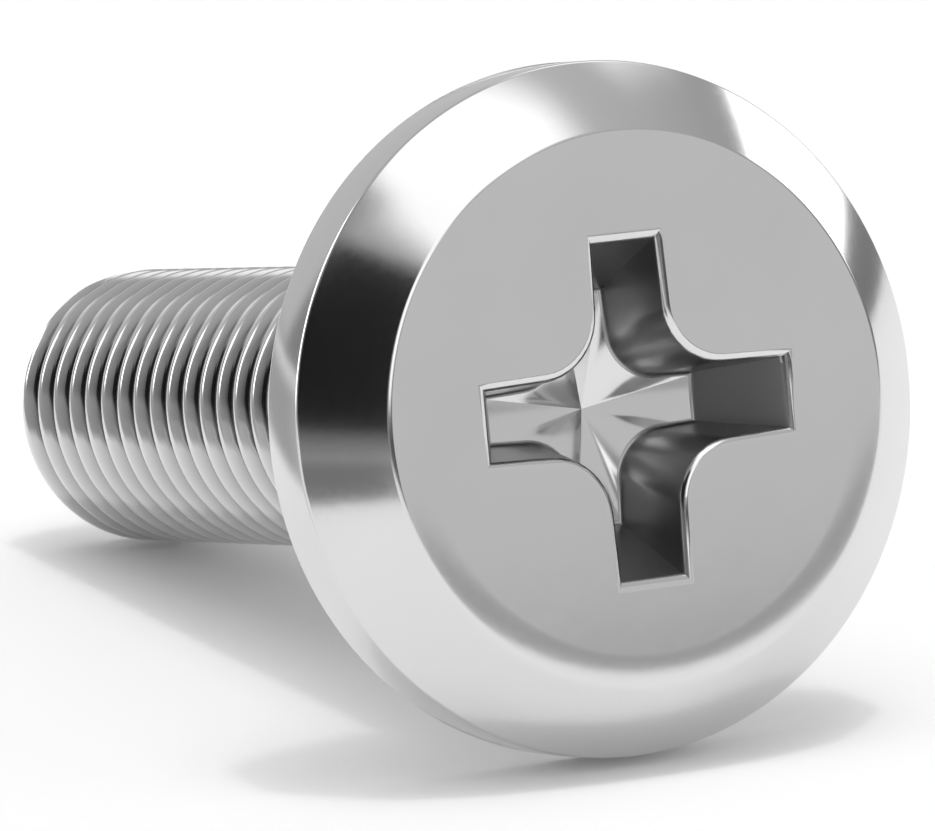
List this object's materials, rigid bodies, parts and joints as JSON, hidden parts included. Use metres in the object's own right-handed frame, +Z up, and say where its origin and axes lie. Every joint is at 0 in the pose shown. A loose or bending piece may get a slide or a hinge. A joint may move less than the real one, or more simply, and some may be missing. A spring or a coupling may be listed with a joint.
{
  "type": "furniture connector bolt",
  "caption": "Flat-headed furniture connector bolt with a bevelled wide flange, a cross drive recess and a fine-threaded shank, lying as it comes to rest.",
  "frame": {"origin": "centre of the bearing face under the head, on the bolt's axis", "axes": "+Z up; the head points to -Y and the thread to +Y, tipped down by 11.15 degrees as the bolt lies on a flat surface; one pair of recess wings lies in the YZ plane"},
  "size_m": [0.0138, 0.024, 0.0138],
  "materials": {
    "bolt": "bright plated"
  },
  "bodies": {
    "root": {"bolt": "bolt"}
  },
  "joints": []
}
